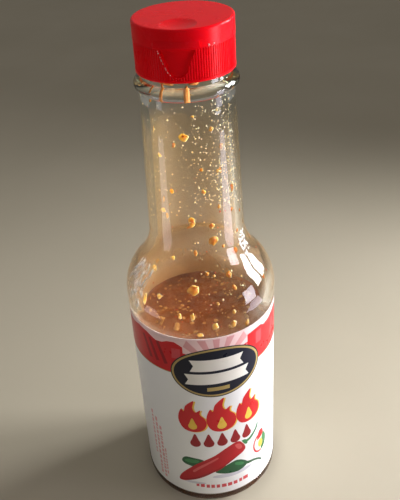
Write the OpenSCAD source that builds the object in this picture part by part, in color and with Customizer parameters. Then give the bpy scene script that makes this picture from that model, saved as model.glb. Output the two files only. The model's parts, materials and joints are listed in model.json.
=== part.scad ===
// Glass hot sauce bottle with a ribbed screw cap and a hinged flip-top lid.
// The bottle stands on z = 0, its axis is the Z axis and the label's front faces -Y.

/* [Bottle] */
// Diameter of the body
body_d = 60; // [48:1:74]
// Height of the glass, from the table to its lip
glass_h = 203.4; // [190:0.2:260]
// Thickness of the glass wall
wall = 3; // [2:0.1:3.6]
// Thickness of the glass floor
floor_t = 5.5; // [3:0.5:8]
// Height of the push-up in the middle of the base
push_up = 2.2; // [0.5:0.1:4]
// Radius of the heel, where the wall meets the base
heel_r = 4; // [2:0.5:6]
// Width of the flat ring that the bottle stands on
bearing_w = 3; // [1.5:0.5:5]
// Height where the straight body ends and the shoulder starts
shoulder_z = 104.6; // [90:0.2:110]
// Radius of the shoulder's outward curve
shoulder_r = 19.8; // [14:0.2:22]
// Radius of the inward curve between shoulder and neck
waist_r = 24; // [16:0.5:28]
// Diameter of the neck where it leaves the shoulder
neck_d = 36.3; // [34:0.1:40]
// Angle by which the neck's wall leans inwards
neck_lean = 1.9; // [0.5:0.1:2.5]

/* [Neck ring and finish] */
// Diameter of the glass ring below the cap
ring_d = 36.1; // [34.5:0.1:40]
// Height of the glass ring
ring_h = 4.4; // [3:0.1:5]
// Gap between the glass ring and the cap
ring_gap = 2.2; // [1:0.1:4]
// Diameter of the finish, the part of the glass inside the cap
finish_d = 30.6; // [29:0.1:31.5]
// Diameter of the bottle's mouth
bore_d = 24; // [18:0.5:25]
// How far the snap ring stands out from the finish
snap_h = 0.25; // [0.1:0.05:0.3]
// Height of the snap ring's centre above the cap's lower edge
snap_z = 4.5; // [3.5:0.1:6]

/* [Label] */
// Depth of the panel that the label sits in
panel_depth = 0.3; // [0.2:0.05:0.6]
// Thickness of the label
label_t = 0.15; // [0.1:0.05:0.2]
// Height of the label's lower edge
label_z0 = 6.3; // [6:0.1:20]
// Distance from the label's upper edge up to the shoulder
label_drop = 5.5; // [1:0.5:20]
// Width of the strip of bare glass between the label's ends, at the back
label_gap = 2; // [1:0.5:40]

/* [Sauce] */
// Height of the sauce's surface
sauce_z = 89; // [20:1:100]

/* [Cap] */
// Height of the screw cap without its lid
cap_h = 10.6; // [9.5:0.1:14]
// Diameter of the smooth band at the cap's lower edge
cap_d = 33.8; // [33.4:0.1:36]
// How far the tips of the ribs stand back from the smooth band
rib_inset = 0.1; // [0.05:0.05:0.2]
// Clearance between the finish and the cap
cap_clearance = 0.35; // [0.31:0.01:0.5]
// Number of ribs round the cap
rib_count = 120; // [60:2:140]
// Height of a rib
rib_h = 0.2; // [0.1:0.05:0.3]
// Height of the smooth band below the ribs
collar_h = 0.8; // [0.4:0.1:2]
// Thickness of the cap's deck, which closes the mouth
deck_t = 1.7; // [1:0.1:3]
// Diameter of the pouring hole
pour_d = 4.2; // [2.5:0.1:6]
// Height of the spout round the pouring hole
spout_h = 2.2; // [1:0.1:2.6]
// Direction that the cap's front faces, from the label's front
cap_turn = -18.5; // [-180:0.5:180]
// Width of the thumb recess at its top
recess_w = 12.8; // [8:0.2:15]
// Height of the thumb recess
recess_h = 8.9; // [5:0.1:9.2]
// Depth of the thumb recess below the rib tips
recess_depth = 0.8; // [0.4:0.1:0.9]

/* [Lid] */
// Height of the lid
lid_h = 6.1; // [5.5:0.1:9]
// Diameter of the lid at its lower edge
lid_d = 33.8; // [33.2:0.1:35]
// How much the lid's wall leans in towards the top
lid_draft = 0.05; // [0:0.05:0.4]
// Radius of the lid's upper edge
lid_edge_r = 0.7; // [0.4:0.1:1.3]
// Thickness of the lid's wall and top
lid_wall = 1.5; // [1:0.1:1.8]
// Gap between lid and deck when the lid is shut
seam = 0.1; // [0.05:0.05:0.2]
// Diameter of the thumb dish in the lid's top
dish_d = 12; // [8:0.2:14]
// Depth of the thumb dish
dish_depth = 0.6; // [0.2:0.1:0.9]
// How far the thumb tab stands out
tab_out = 0.9; // [0.4:0.1:2]
// Height of the thumb tab
tab_h = 2.4; // [1.2:0.1:3.5]
// Angle that the thumb tab spans
tab_angle = 50; // [20:1:70]
// Clearance round the plug in the pouring hole
plug_clearance = 0.3; // [0.25:0.05:0.5]
// How deep the plug goes into the spout
plug_depth = 1.8; // [0.5:0.1:1.8]

/* [Hinge] */
// Width of the hinge web at the back of the cap
web_w = 7; // [4:0.2:7.2]
// Thickness of the hinge web
web_t = 0.45; // [0.3:0.05:0.6]
// How far the web's outer face lies inside the lid's outer surface
web_inset = 0.3; // [0.2:0.05:0.4]
// How far the web reaches down the cap and up the lid
web_reach = 1.6; // [0.8:0.1:2.5]

/* [Hidden] */
$fn = 128;
arc_steps = 12;
over = 1;

// Body and shoulder
body_r = body_d / 2;
inner_r = body_r - wall;
panel_r = body_r - panel_depth;
panel_land = 0.4;
bearing_out_r = body_r - heel_r;
bearing_in_r = bearing_out_r - bearing_w;
inner_heel_r = heel_r + 2;
label_z1 = shoulder_z - label_drop;
shoulder_c = [body_r - shoulder_r, shoulder_z];
waist_x = neck_d / 2 + waist_r * cos(neck_lean);
shoulder_turn = acos((waist_x - shoulder_c[0]) / (shoulder_r + waist_r));
waist_c = shoulder_c + (shoulder_r + waist_r) * [cos(shoulder_turn), sin(shoulder_turn)];
neck_start = waist_c - waist_r * [cos(neck_lean), sin(neck_lean)];

// Finish and cap
cap_z0 = glass_h + deck_t - cap_h;
cap_top_z = glass_h + deck_t;
ring_top_z = cap_z0 - ring_gap;
ring_bottom_z = ring_top_z - ring_h;
ring_r = ring_d / 2;
finish_r = finish_d / 2;
bore_r = bore_d / 2;
lip_r = 0.8;
bore_lead = 6;
snap_band = 1.2;
snap_top_z = cap_z0 + snap_z;
cap_r = cap_d / 2;
rib_tip_r = cap_r - rib_inset;
cap_inner_r = finish_r + cap_clearance;
snap_overlap = 0.1;
snap_inner_r = finish_r + snap_h - snap_overlap;
snap_slack = 0.3;
recess_tip_r = 3.5;
spout_wall = 1.3;
pour_r = pour_d / 2;

// Lid
lid_z0 = cap_top_z + seam;
lid_z1 = lid_z0 + lid_h;
lid_r = lid_d / 2;
lid_top_r = lid_r - lid_draft;
lid_ceiling_z = lid_z1 - lid_wall;
dish_r = dish_d / 2;
dish_ball_r = (pow(dish_r, 2) + pow(dish_depth, 2)) / (2 * dish_depth);
dish_edge = 0.4;
plug_r = pour_r - plug_clearance;

// Hinge
web_y = lid_r - web_inset - web_t / 2;
land_y = web_y - web_t / 2;

// Radius of the neck's outside at height z
function neck_r(z) = neck_start[0] - (z - neck_start[1]) * tan(neck_lean);

// Points along an arc from angle a0 to a1
function arc(centre, r, a0, a1) =
    [for (i = [0:arc_steps]) centre + r * [cos(a0 + (a1 - a0) * i / arc_steps), sin(a0 + (a1 - a0) * i / arc_steps)]];

// The push-up, from its top on the axis down to height z at radius edge_r
function dome(edge_r, z) =
    [for (i = [0:arc_steps]) [edge_r * i / arc_steps, z + push_up * (1 - pow(i / arc_steps, 2))]];

// Outside of the body and shoulder, from the heel up to the foot of the neck
function body_outside() = concat(
    arc([bearing_out_r, heel_r], heel_r, -90, 0),
    [
        [body_r, label_z0 - panel_land],
        [panel_r, label_z0],
        [panel_r, label_z1],
        [body_r, label_z1 + panel_land],
    ],
    arc(shoulder_c, shoulder_r, 0, shoulder_turn),
    arc(waist_c, waist_r, 180 + shoulder_turn, 180 + neck_lean)
);

// The glass ring under the cap: half an oval, with the finish above it
function ring_outside() = [
    for (i = [0:arc_steps])
        let (a = -90 + 180 * i / arc_steps)
        let (foot = a < 0 ? neck_r(ring_bottom_z) : finish_r)
        [foot + (ring_r - foot) * cos(a), ring_bottom_z + ring_h / 2 * (1 + sin(a))]
];

// Snap ring of the finish, with sloping sides
function snap_outside() = [
    [finish_r, snap_top_z - snap_band],
    [finish_r + snap_h, snap_top_z - snap_band + snap_h],
    [finish_r + snap_h, snap_top_z - snap_h],
    [finish_r, snap_top_z],
];

// Inside of the glass below the neck, from the axis outwards and up
function body_inside() = concat(
    dome(inner_r - inner_heel_r, floor_t),
    arc([inner_r - inner_heel_r, floor_t + inner_heel_r], inner_heel_r, -90, 0),
    arc(shoulder_c, shoulder_r - wall, 0, shoulder_turn),
    arc(waist_c, waist_r + wall, 180 + shoulder_turn, 180 + neck_lean)
);

function mouth_inside() = [
    [neck_r(ring_bottom_z - bore_lead) - wall, ring_bottom_z - bore_lead],
    [bore_r, ring_bottom_z + bore_lead / 2],
];

// Closed outline of the glass
function glass_outline() = concat(
    dome(bearing_in_r, 0),
    body_outside(),
    ring_outside(),
    snap_outside(),
    arc([finish_r - lip_r, glass_h - lip_r], lip_r, 0, 90),
    arc([bore_r + lip_r, glass_h - lip_r], lip_r, 90, 180),
    [for (i = [1:-1:0]) mouth_inside()[i]],
    let (inside = body_inside()) [for (i = [len(inside) - 1:-1:0]) inside[i]]
);

module bottle() {
    color([0.86, 0.9, 0.84, 0.35])
        rotate_extrude()
            polygon(glass_outline());
}

// The sauce fills the glass up to its surface
module sauce() {
    color([0.5, 0.2, 0.08])
        intersection() {
            rotate_extrude()
                polygon(concat(body_inside(), [[0, neck_start[1]]]));
            cylinder(h = sauce_z, r = body_r);
        }
}

// Paper wrapped round the panel, open at the back
module label() {
    gap_angle = label_gap / panel_r * 180 / PI;
    color([0.95, 0.95, 0.93])
        rotate([0, 0, 90 + gap_angle / 2])
            rotate_extrude(angle = 360 - gap_angle)
                translate([panel_r, label_z0])
                    square([label_t, label_z1 - label_z0]);
}

// Outline of the ribbed wall, one trapezoid a rib
module ribbed_outline() {
    pitch = 360 / rib_count;
    flat = 0.3;
    polygon([
        for (i = [0:rib_count - 1], s = [[-flat / 2, 0], [flat / 2, 0], [0.5 - flat / 2, 1], [0.5 + flat / 2, 1]])
            let (a = (i + s[0]) * pitch, r = rib_tip_r - rib_h * s[1])
            [r * cos(a), r * sin(a)]
    ]);
}

// Outline of the thumb recess, seen from the front
module recess_outline() {
    tip_y = cap_h - recess_h + recess_tip_r;
    translate([0, tip_y])
        circle(r = recess_tip_r);
    polygon([
        [-recess_tip_r, tip_y],
        [recess_tip_r, tip_y],
        [recess_w / 2, cap_h + over],
        [-recess_w / 2, cap_h + over],
    ]);
}

// The thumb recess, cut from the wall down to one even depth
module recess_cut() {
    difference() {
        translate([0, 0, cap_z0])
            rotate([90, 0, 0])
                linear_extrude(height = cap_r + over)
                    recess_outline();
        cylinder(h = cap_top_z + over, r = rib_tip_r - recess_depth);
    }
}

// Room behind the flat where the hinge web lies, from height z0 up
module hinge_land(z0, h) {
    translate([-cap_r, land_y, z0])
        cube([cap_d, cap_r, h]);
}

module cap_shell() {
    difference() {
        union() {
            translate([0, 0, cap_z0])
                cylinder(h = collar_h, r = cap_r);
            translate([0, 0, cap_z0 + collar_h])
                linear_extrude(height = cap_h - collar_h)
                    ribbed_outline();
            translate([0, 0, cap_top_z])
                cylinder(h = spout_h, r = pour_r + spout_wall);
        }
        translate([0, 0, cap_z0 - over])
            cylinder(h = cap_h - deck_t + over, r = cap_inner_r);
        translate([0, 0, glass_h - over])
            cylinder(h = deck_t + spout_h + 2 * over, r = pour_r);
        recess_cut();
        hinge_land(cap_top_z - web_reach, web_reach + over);
    }
}

// Ring inside the skirt that catches below the finish's snap ring
module snap_catch() {
    top_z = snap_top_z - snap_band - snap_slack;
    translate([0, 0, top_z - snap_band])
        difference() {
            cylinder(h = snap_band, r = cap_inner_r + over / 4);
            translate([0, 0, -over])
                cylinder(h = snap_band + 2 * over, r = snap_inner_r);
        }
}

module screw_cap() {
    color([0.72, 0.03, 0.08])
        rotate([0, 0, cap_turn]) {
            cap_shell();
            snap_catch();
        }
}

// Closed outline of the lid, from the axis out along the top and back inside
module lid_outline() {
    inner_top_r = lid_top_r - lid_wall;
    polygon(concat(
        [[0, lid_z1]],
        [for (i = [0:arc_steps]) arc([lid_top_r - lid_edge_r, lid_z1 - lid_edge_r], lid_edge_r, 90, 0)[i]],
        [[lid_r, lid_z0], [lid_r - lid_wall, lid_z0], [inner_top_r, lid_ceiling_z], [0, lid_ceiling_z]]
    ));
}

// Wedge that flares out from the lid's lower edge, for the thumb
module thumb_tab() {
    inside = lid_wall / 2;
    rotate([0, 0, -90 - tab_angle / 2])
        rotate_extrude(angle = tab_angle)
            polygon([
                [lid_r - inside, lid_z0],
                [lid_r + tab_out, lid_z0],
                [lid_r + tab_out, lid_z0 + tab_h / 3],
                [lid_r - lid_draft * tab_h / lid_h, lid_z0 + tab_h],
                [lid_r - inside, lid_z0 + tab_h],
            ]);
}

module flip_lid() {
    color([0.74, 0.03, 0.08])
        rotate([0, 0, cap_turn])
            difference() {
                union() {
                    rotate_extrude()
                        lid_outline();
                    thumb_tab();
                    translate([0, 0, cap_top_z + spout_h - plug_depth])
                        cylinder(h = lid_ceiling_z + lid_wall / 2 - cap_top_z - spout_h + plug_depth, r = plug_r);
                }
                translate([0, dish_r + dish_edge - lid_top_r, lid_z1 + dish_ball_r - dish_depth])
                    sphere(r = dish_ball_r, $fn = 256);
                hinge_land(lid_z0 - over, web_reach + over);
            }
}

// Thin strip that joins lid and cap at the back and bends between them
module hinge_web() {
    color([0.7, 0.03, 0.08])
        rotate([0, 0, cap_turn])
            translate([-web_w / 2, land_y, cap_top_z - web_reach])
                cube([web_w, web_t, 2 * web_reach + seam]);
}

bottle();
sauce();
label();
screw_cap();
flip_lid();
hinge_web();
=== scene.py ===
# Hot sauce bottle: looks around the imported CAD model. Units are metres, the label's front faces -Y.
import json
import math
import random

import bmesh
import bpy
from mathutils import Matrix, Vector, noise

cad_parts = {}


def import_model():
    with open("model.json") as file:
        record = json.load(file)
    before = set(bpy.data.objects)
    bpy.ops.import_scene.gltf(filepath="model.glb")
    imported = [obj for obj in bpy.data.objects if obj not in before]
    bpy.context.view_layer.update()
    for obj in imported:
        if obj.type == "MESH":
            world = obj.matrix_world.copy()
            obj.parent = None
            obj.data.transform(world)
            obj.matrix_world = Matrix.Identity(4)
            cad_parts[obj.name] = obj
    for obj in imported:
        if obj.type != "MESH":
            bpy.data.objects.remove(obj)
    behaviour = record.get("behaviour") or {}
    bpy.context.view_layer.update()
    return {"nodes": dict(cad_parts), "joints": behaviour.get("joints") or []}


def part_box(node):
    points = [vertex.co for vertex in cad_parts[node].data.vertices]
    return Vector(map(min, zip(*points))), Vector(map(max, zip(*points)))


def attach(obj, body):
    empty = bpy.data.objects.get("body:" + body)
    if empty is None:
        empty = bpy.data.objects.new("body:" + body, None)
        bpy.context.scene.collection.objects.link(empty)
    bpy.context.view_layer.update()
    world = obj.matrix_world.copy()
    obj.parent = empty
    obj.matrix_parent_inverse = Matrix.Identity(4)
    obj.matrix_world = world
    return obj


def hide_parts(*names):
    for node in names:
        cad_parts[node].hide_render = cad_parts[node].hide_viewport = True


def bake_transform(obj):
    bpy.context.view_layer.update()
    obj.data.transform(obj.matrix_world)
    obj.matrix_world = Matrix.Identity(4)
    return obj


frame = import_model()

MM = 0.001
TAU = 2 * math.pi
nodes = frame["nodes"]

# -------------------------------- sizes from the frame

glass_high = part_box("bottle")[1]
label_low, label_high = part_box("label")
cap_low, cap_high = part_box("screw_cap")
lid_low, lid_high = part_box("flip_lid")
web_low, web_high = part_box("hinge_web")

BODY_R = glass_high.x
GLASS_TOP = glass_high.z
LABEL_R = label_high.x
LABEL_Z0 = label_low.z
LABEL_Z1 = label_high.z
SAUCE_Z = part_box("sauce")[1].z
CAP_BASE_Z = cap_low.z
LID_BASE_Z = lid_low.z
LID_TOP_Z = lid_high.z
HINGE_POINT = Vector(frame["joints"][0]["pos_m"])
CAP_TURN = math.atan2(-HINGE_POINT.x, HINGE_POINT.y)

# Glass sizes that the boxes don't tell
WALL = 3 * MM
FLOOR = 5.5 * MM
PUSH_UP = 2.2 * MM
HEEL_R = 4 * MM
BEARING_W = 3 * MM
PANEL_DEPTH = 0.3 * MM
PANEL_LAND = 0.4 * MM
SHOULDER_Z = LABEL_Z1 + 5.5 * MM
SHOULDER_R = 19.8 * MM
WAIST_R = 24 * MM
NECK_R = 18.15 * MM
NECK_LEAN = math.radians(1.9)
RING_R = 18.05 * MM
RING_H = 4.4 * MM
RING_GAP = 2.2 * MM
FINISH_R = 15.3 * MM
BORE_R = 12 * MM
LIP_R = 0.8 * MM

# The top of the sauce's film on the wall, and the degrees from the label's front to the camera
FILM_TOP = 181 * MM
CAMERA_TURN = -9.5

SHOULDER_C = Vector((BODY_R - SHOULDER_R, SHOULDER_Z))
WAIST_X = NECK_R + WAIST_R * math.cos(NECK_LEAN)
SHOULDER_TURN = math.acos((WAIST_X - SHOULDER_C.x) / (SHOULDER_R + WAIST_R))
WAIST_C = SHOULDER_C + (SHOULDER_R + WAIST_R) * Vector(
    (math.cos(SHOULDER_TURN), math.sin(SHOULDER_TURN)))
NECK_START = WAIST_C - WAIST_R * Vector((math.cos(NECK_LEAN), math.sin(NECK_LEAN)))
RING_Z1 = CAP_BASE_Z - RING_GAP
RING_Z0 = RING_Z1 - RING_H


def neck_radius(z):
    return NECK_START.x - (z - NECK_START.y) * math.tan(NECK_LEAN)


def arc(centre, r, start, end, steps=24):
    """Points (radius, height) along an arc. Angles are in radians."""
    angles = [start + (end - start) * i / steps for i in range(steps + 1)]
    return [Vector((centre[0] + r * math.cos(a), centre[1] + r * math.sin(a))) for a in angles]


def dome(edge_r, z, steps=12):
    """The pushed-up middle of the base, from the axis out."""
    return [Vector((edge_r * i / steps, z + PUSH_UP * (1 - (i / steps) ** 2)))
            for i in range(steps + 1)]


def straight(a, b, step):
    """Points from a to b, both left out, so that a long wall gets rings too."""
    count = max(1, round((b - a).length / step))
    return [a.lerp(b, i / count) for i in range(1, count)]


def soften(outline, cut=0.12 * MM, least_turn=math.radians(14)):
    """Rounds the corners of an outline, as moulded glass has no sharp ones."""
    result = [outline[0]]
    for before, corner, after in zip(outline, outline[1:], outline[2:]):
        turn = (corner - before).angle(after - corner, 0)
        if turn < least_turn:
            result.append(corner)
            continue
        a = corner + (before - corner).normalized() * min(cut, (before - corner).length / 3)
        b = corner + (after - corner).normalized() * min(cut, (after - corner).length / 3)
        result += [a, (a + b + corner * 2) / 4, b]
    return result + [outline[-1]]


def glass_outside():
    """From the base's middle out and up to the lip."""
    bearing = BODY_R - HEEL_R
    points = dome(bearing - BEARING_W, 0) + arc((bearing, HEEL_R), HEEL_R, -TAU / 4, 0)
    low_land = Vector((BODY_R, LABEL_Z0 - PANEL_LAND))
    high_land = Vector((BODY_R, LABEL_Z1 + PANEL_LAND))
    panel_low = Vector((BODY_R - PANEL_DEPTH, LABEL_Z0))
    panel_high = Vector((BODY_R - PANEL_DEPTH, LABEL_Z1))
    points += [low_land, panel_low] + straight(panel_low, panel_high, 8 * MM)
    points += [panel_high, high_land]
    points += arc(SHOULDER_C, SHOULDER_R, 0, SHOULDER_TURN)
    points += arc(WAIST_C, WAIST_R, math.pi + SHOULDER_TURN, math.pi + NECK_LEAN)
    neck_top = Vector((neck_radius(RING_Z0), RING_Z0))
    points += straight(points[-1], neck_top, 5 * MM)
    ring_steps = 24
    for i in range(ring_steps + 1):
        a = -TAU / 4 + math.pi * i / ring_steps
        foot = neck_top.x if a < 0 else FINISH_R
        points.append(Vector((foot + (RING_R - foot) * math.cos(a),
                              RING_Z0 + RING_H / 2 * (1 + math.sin(a)))))
    points += arc((FINISH_R - LIP_R, GLASS_TOP - LIP_R), LIP_R, 0, TAU / 4, 8)
    return points


def glass_inside():
    """From the lip down and in to the middle of the floor."""
    lead = 6 * MM
    inner_r = BODY_R - WALL
    heel = HEEL_R + 2 * MM
    points = dome(inner_r - heel, FLOOR) + arc((inner_r - heel, FLOOR + heel), heel, -TAU / 4, 0)
    points += straight(points[-1], Vector((inner_r, SHOULDER_Z)), 6 * MM)
    points += arc(SHOULDER_C, SHOULDER_R - WALL, 0, SHOULDER_TURN)
    points += arc(WAIST_C, WAIST_R + WALL, math.pi + SHOULDER_TURN, math.pi + NECK_LEAN)
    neck_end = Vector((neck_radius(RING_Z0 - lead) - WALL, RING_Z0 - lead))
    bore_end = Vector((BORE_R, RING_Z0 + lead / 2))
    points += straight(points[-1], neck_end, 5 * MM) + [neck_end]
    points += straight(neck_end, bore_end, 2 * MM) + [bore_end]
    points += arc((BORE_R + LIP_R, GLASS_TOP - LIP_R), LIP_R, math.pi, TAU / 4, 8)
    return points[::-1]


def without_repeats(points):
    result = [points[0]]
    for p in points[1:]:
        if (p - result[-1]).length > 0.002 * MM:
            result.append(p)
    return result


inside_up = without_repeats(glass_inside())[::-1]


def wall_radius(z):
    """Radius of the glass's inside at height z."""
    for a, b in zip(inside_up, inside_up[1:]):
        if a.y <= z <= b.y and b.y > a.y:
            return a.x + (b.x - a.x) * (z - a.y) / (b.y - a.y)
    return BORE_R


def round_point(azimuth, z, r):
    """A point at radius r. Azimuth is in radians from the front, -Y, towards +X."""
    return Vector((r * math.sin(azimuth), -r * math.cos(azimuth), z))


def wall_frame(azimuth, z):
    """A point on the inner wall, and the direction from it into the bottle."""
    d = 0.5 * MM
    low = round_point(azimuth, z - d, wall_radius(z - d))
    high = round_point(azimuth, z + d, wall_radius(z + d))
    up = (high - low).normalized()
    along = Vector((math.cos(azimuth), math.sin(azimuth), 0))
    inward = up.cross(along).normalized()
    if inward.dot(Vector((low.x, low.y, 0))) > 0:
        inward = -inward
    return round_point(azimuth, z, wall_radius(z)), inward


# -------------------------------- helpers for pieces

def new_piece(name, vertices, faces, material, body="filled_bottle", smooth=True):
    mesh = bpy.data.meshes.new(name)
    mesh.from_pydata([tuple(v) for v in vertices], [], faces)
    mesh.validate()
    mesh.polygons.foreach_set("use_smooth", [smooth] * len(mesh.polygons))
    mesh.materials.append(material)
    piece = bpy.data.objects.new(name, mesh)
    bpy.context.scene.collection.objects.link(piece)
    if body:
        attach(piece, body)
    return piece


def round_faces(rings, segments):
    """Faces over two end points, vertices 0 and 1, and the rings of vertices after them."""
    last = 2 + (rings - 1) * segments
    faces = []
    for i in range(segments):
        j = (i + 1) % segments
        faces.append((0, 2 + j, 2 + i))
        faces.append((1, last + i, last + j))
        for k in range(rings - 1):
            a = 2 + k * segments
            b = a + segments
            faces.append((a + i, a + j, b + j, b + i))
    return faces


def lathe(outline, segments, shift=None):
    """A closed round shape. The outline runs from the axis out and back to the axis."""
    ends = [Vector((0, 0, outline[0][1])), Vector((0, 0, outline[-1][1]))]
    rings = outline[1:-1]
    vertices = list(ends)
    for r, z in rings:
        vertices += [round_point(TAU * i / segments, z, r) for i in range(segments)]
    if shift:
        vertices = [shift(p) for p in vertices]
    return vertices, round_faces(len(rings), segments)


class Heap:
    """Gathers many small closed shapes into one mesh."""

    def __init__(self):
        self.vertices = []
        self.faces = []

    def add(self, vertices, faces):
        start = len(self.vertices)
        self.vertices += vertices
        self.faces += [tuple(start + i for i in face) for face in faces]

    def piece(self, name, material, body="filled_bottle", slot=None, smooth=True):
        new_piece(name, self.vertices, self.faces, material, body, smooth)


def wall_drop(azimuth, z, half_w, half_h, thick, rng, rings=3, segments=12, ragged=0.25, lean=0.0):
    """A drop or smear on the inner wall: a low dome with a ragged outline, closed at the back."""
    sink = 0.03 * MM
    seed = rng.random() * 100
    r0 = wall_radius(z)
    vertices = []
    faces = []
    for k in range(rings + 1):
        q = 1 - k / rings if k < rings else 0
        for i in range(segments if q else 1):
            a = TAU * i / segments
            waver = noise.noise(Vector((math.cos(a) * 1.3, math.sin(a) * 1.3, seed)))
            edge = 1 + ragged * waver * 2
            x = half_w * q * edge * math.cos(a)
            y = half_h * q * edge * math.sin(a)
            x += lean * y
            base, inward = wall_frame(azimuth + x / r0, z + y)
            lumps = 1 + 0.5 * ragged * noise.noise(Vector((x / half_w * 2, y / half_h * 2, seed)))
            height = thick * (1 - q * q) * lumps if q < 1 else -sink
            vertices.append(base + inward * height)
    for k in range(rings - 1):
        for i in range(segments):
            j = (i + 1) % segments
            a, b = k * segments, (k + 1) * segments
            faces.append((a + j, a + i, b + i, b + j))
    tip = rings * segments
    inner = (rings - 1) * segments
    for i in range(segments):
        faces.append((inner + (i + 1) % segments, inner + i, tip))
    base, inward = wall_frame(azimuth, z)
    vertices.append(base - inward * sink)
    faces += [(i, (i + 1) % segments, tip + 1) for i in range(segments)]
    return vertices, faces


def chunk(centre, size, rng, flat=0.6, rings=4, segments=8):
    """A small uneven lump, such as a bit of pepper or a seed."""
    seed = rng.random() * 100
    turn = Matrix.Rotation(rng.random() * TAU, 3, "Z")
    turn = turn @ Matrix.Rotation(rng.uniform(-0.4, 0.4), 3, "X")
    stretch = rng.uniform(0.65, 1.5)
    vertices = [Vector((0, 0, -1)), Vector((0, 0, 1))]
    for k in range(1, rings):
        b = math.pi * k / rings
        for i in range(segments):
            a = TAU * i / segments
            vertices.append(Vector((math.sin(b) * math.cos(a), math.sin(b) * math.sin(a),
                                    -math.cos(b))))
    shaped = []
    for v in vertices:
        v = v * (1 + 0.45 * noise.noise(v * 1.7 + Vector((seed, 0, 0))))
        shaped.append(centre + turn @ Vector((v.x * size * stretch, v.y * size, v.z * size * flat)))
    return shaped, round_faces(rings - 1, segments)


# -------------------------------- materials

def shader(name, roughness, **sockets):
    """A new material and its Principled shader, with constants set on the shader's own sockets."""
    material = bpy.data.materials.new(name)
    material.use_nodes = True
    principled = material.node_tree.nodes["Principled BSDF"]
    principled.inputs["Roughness"].default_value = roughness
    for socket, value in sockets.items():
        principled.inputs[socket.replace("_", " ")].default_value = value
    return material, principled


def noise_node(material, scale, detail=3.0, roughness=0.5, stretch=(1, 1, 1)):
    """Noise in object coordinates. Scale is in features per metre."""
    tree = material.node_tree
    place = tree.nodes.new("ShaderNodeTexCoord")
    mapping = tree.nodes.new("ShaderNodeMapping")
    mapping.inputs["Scale"].default_value = stretch
    texture = tree.nodes.new("ShaderNodeTexNoise")
    texture.inputs["Scale"].default_value = scale
    texture.inputs["Detail"].default_value = detail
    texture.inputs["Roughness"].default_value = roughness
    tree.links.new(place.outputs["Object"], mapping.inputs["Vector"])
    tree.links.new(mapping.outputs["Vector"], texture.inputs["Vector"])
    return texture.outputs["Fac"]


def axis_node(material, axis):
    """The surface point's X, Y or Z."""
    tree = material.node_tree
    place = tree.nodes.new("ShaderNodeTexCoord")
    split = tree.nodes.new("ShaderNodeSeparateXYZ")
    tree.links.new(place.outputs["Object"], split.inputs["Vector"])
    return split.outputs[axis]


def combine(material, operation, a, b):
    node = material.node_tree.nodes.new("ShaderNodeMath")
    node.operation = operation
    for socket, value in zip(node.inputs, (a, b)):
        if isinstance(value, (int, float)):
            socket.default_value = value
        else:
            material.node_tree.links.new(value, socket)
    return node.outputs["Value"]


def ramp(material, source, stops):
    """A colour ramp fed by source. Each stop is (position, colour)."""
    node = material.node_tree.nodes.new("ShaderNodeValToRGB")
    elements = node.color_ramp.elements
    while len(elements) < len(stops):
        elements.new(0.5)
    for element, (position, colour) in zip(elements, stops):
        element.position = position
        element.color = (*colour, 1)
    material.node_tree.links.new(source, node.inputs["Fac"])
    return node.outputs["Color"]


def remap(material, source, low_in, high_in, low_out, high_out):
    node = material.node_tree.nodes.new("ShaderNodeMapRange")
    ends = (("From Min", low_in), ("From Max", high_in), ("To Min", low_out), ("To Max", high_out))
    for socket, value in ends:
        node.inputs[socket].default_value = value
    material.node_tree.links.new(source, node.inputs["Value"])
    return node.outputs["Result"]


def bump(material, principled, source, height, strength=0.5):
    node = material.node_tree.nodes.new("ShaderNodeBump")
    node.inputs["Strength"].default_value = strength
    node.inputs["Distance"].default_value = height
    material.node_tree.links.new(source, node.inputs["Height"])
    material.node_tree.links.new(node.outputs["Normal"], principled.inputs["Normal"])


def feed(material, principled, socket, source):
    material.node_tree.links.new(source, principled.inputs[socket])


def plain_finish(name, dark, light, roughness, scale, spread=0.06, finer=2.3, **sockets):
    """A finish whose colour drifts between two tones and whose roughness varies a little."""
    material, principled = shader(name, roughness, **sockets)
    tone = noise_node(material, scale)
    feed(material, principled, "Base Color", ramp(material, tone, [(0.3, dark), (0.7, light)]))
    low, high = max(0.02, roughness - spread), roughness + spread
    rough = remap(material, noise_node(material, scale * finer), 0.3, 0.7, low, high)
    feed(material, principled, "Roughness", rough)
    return material


def scatter(material, weight, radius):
    """Light that goes into the surface, as far as radius in metres for red, green and blue."""
    sockets = material.node_tree.nodes["Principled BSDF"].inputs
    sockets["Subsurface Weight"].default_value = weight
    sockets["Subsurface Radius"].default_value = radius
    sockets["Subsurface Scale"].default_value = 1.0


def wet_finish(name, dark, light, scale):
    """Glossy drops of oily sauce that let some light through."""
    material = plain_finish(name, dark, light, 0.15, scale, 0.07, 2)
    scatter(material, 0.8, (0.0016, 0.0010, 0.0005))
    return material


def glass_finish():
    """Clear bottle glass with a faint grey-green body colour and slightly wavy surfaces."""
    material, principled = shader("glass", 0.0, IOR=1.5)
    principled.inputs["Base Color"].default_value = (1, 1, 1, 1)
    principled.inputs["Transmission Weight"].default_value = 1.0
    absorb = material.node_tree.nodes.new("ShaderNodeVolumeAbsorption")
    absorb.inputs["Color"].default_value = (0.78, 0.82, 0.66, 1)
    absorb.inputs["Density"].default_value = 40.0
    output = material.node_tree.nodes["Material Output"]
    material.node_tree.links.new(absorb.outputs["Volume"], output.inputs["Volume"])
    bump(material, principled, noise_node(material, 55, 1.0), 0.25 * MM, 0.3)
    return material


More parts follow.
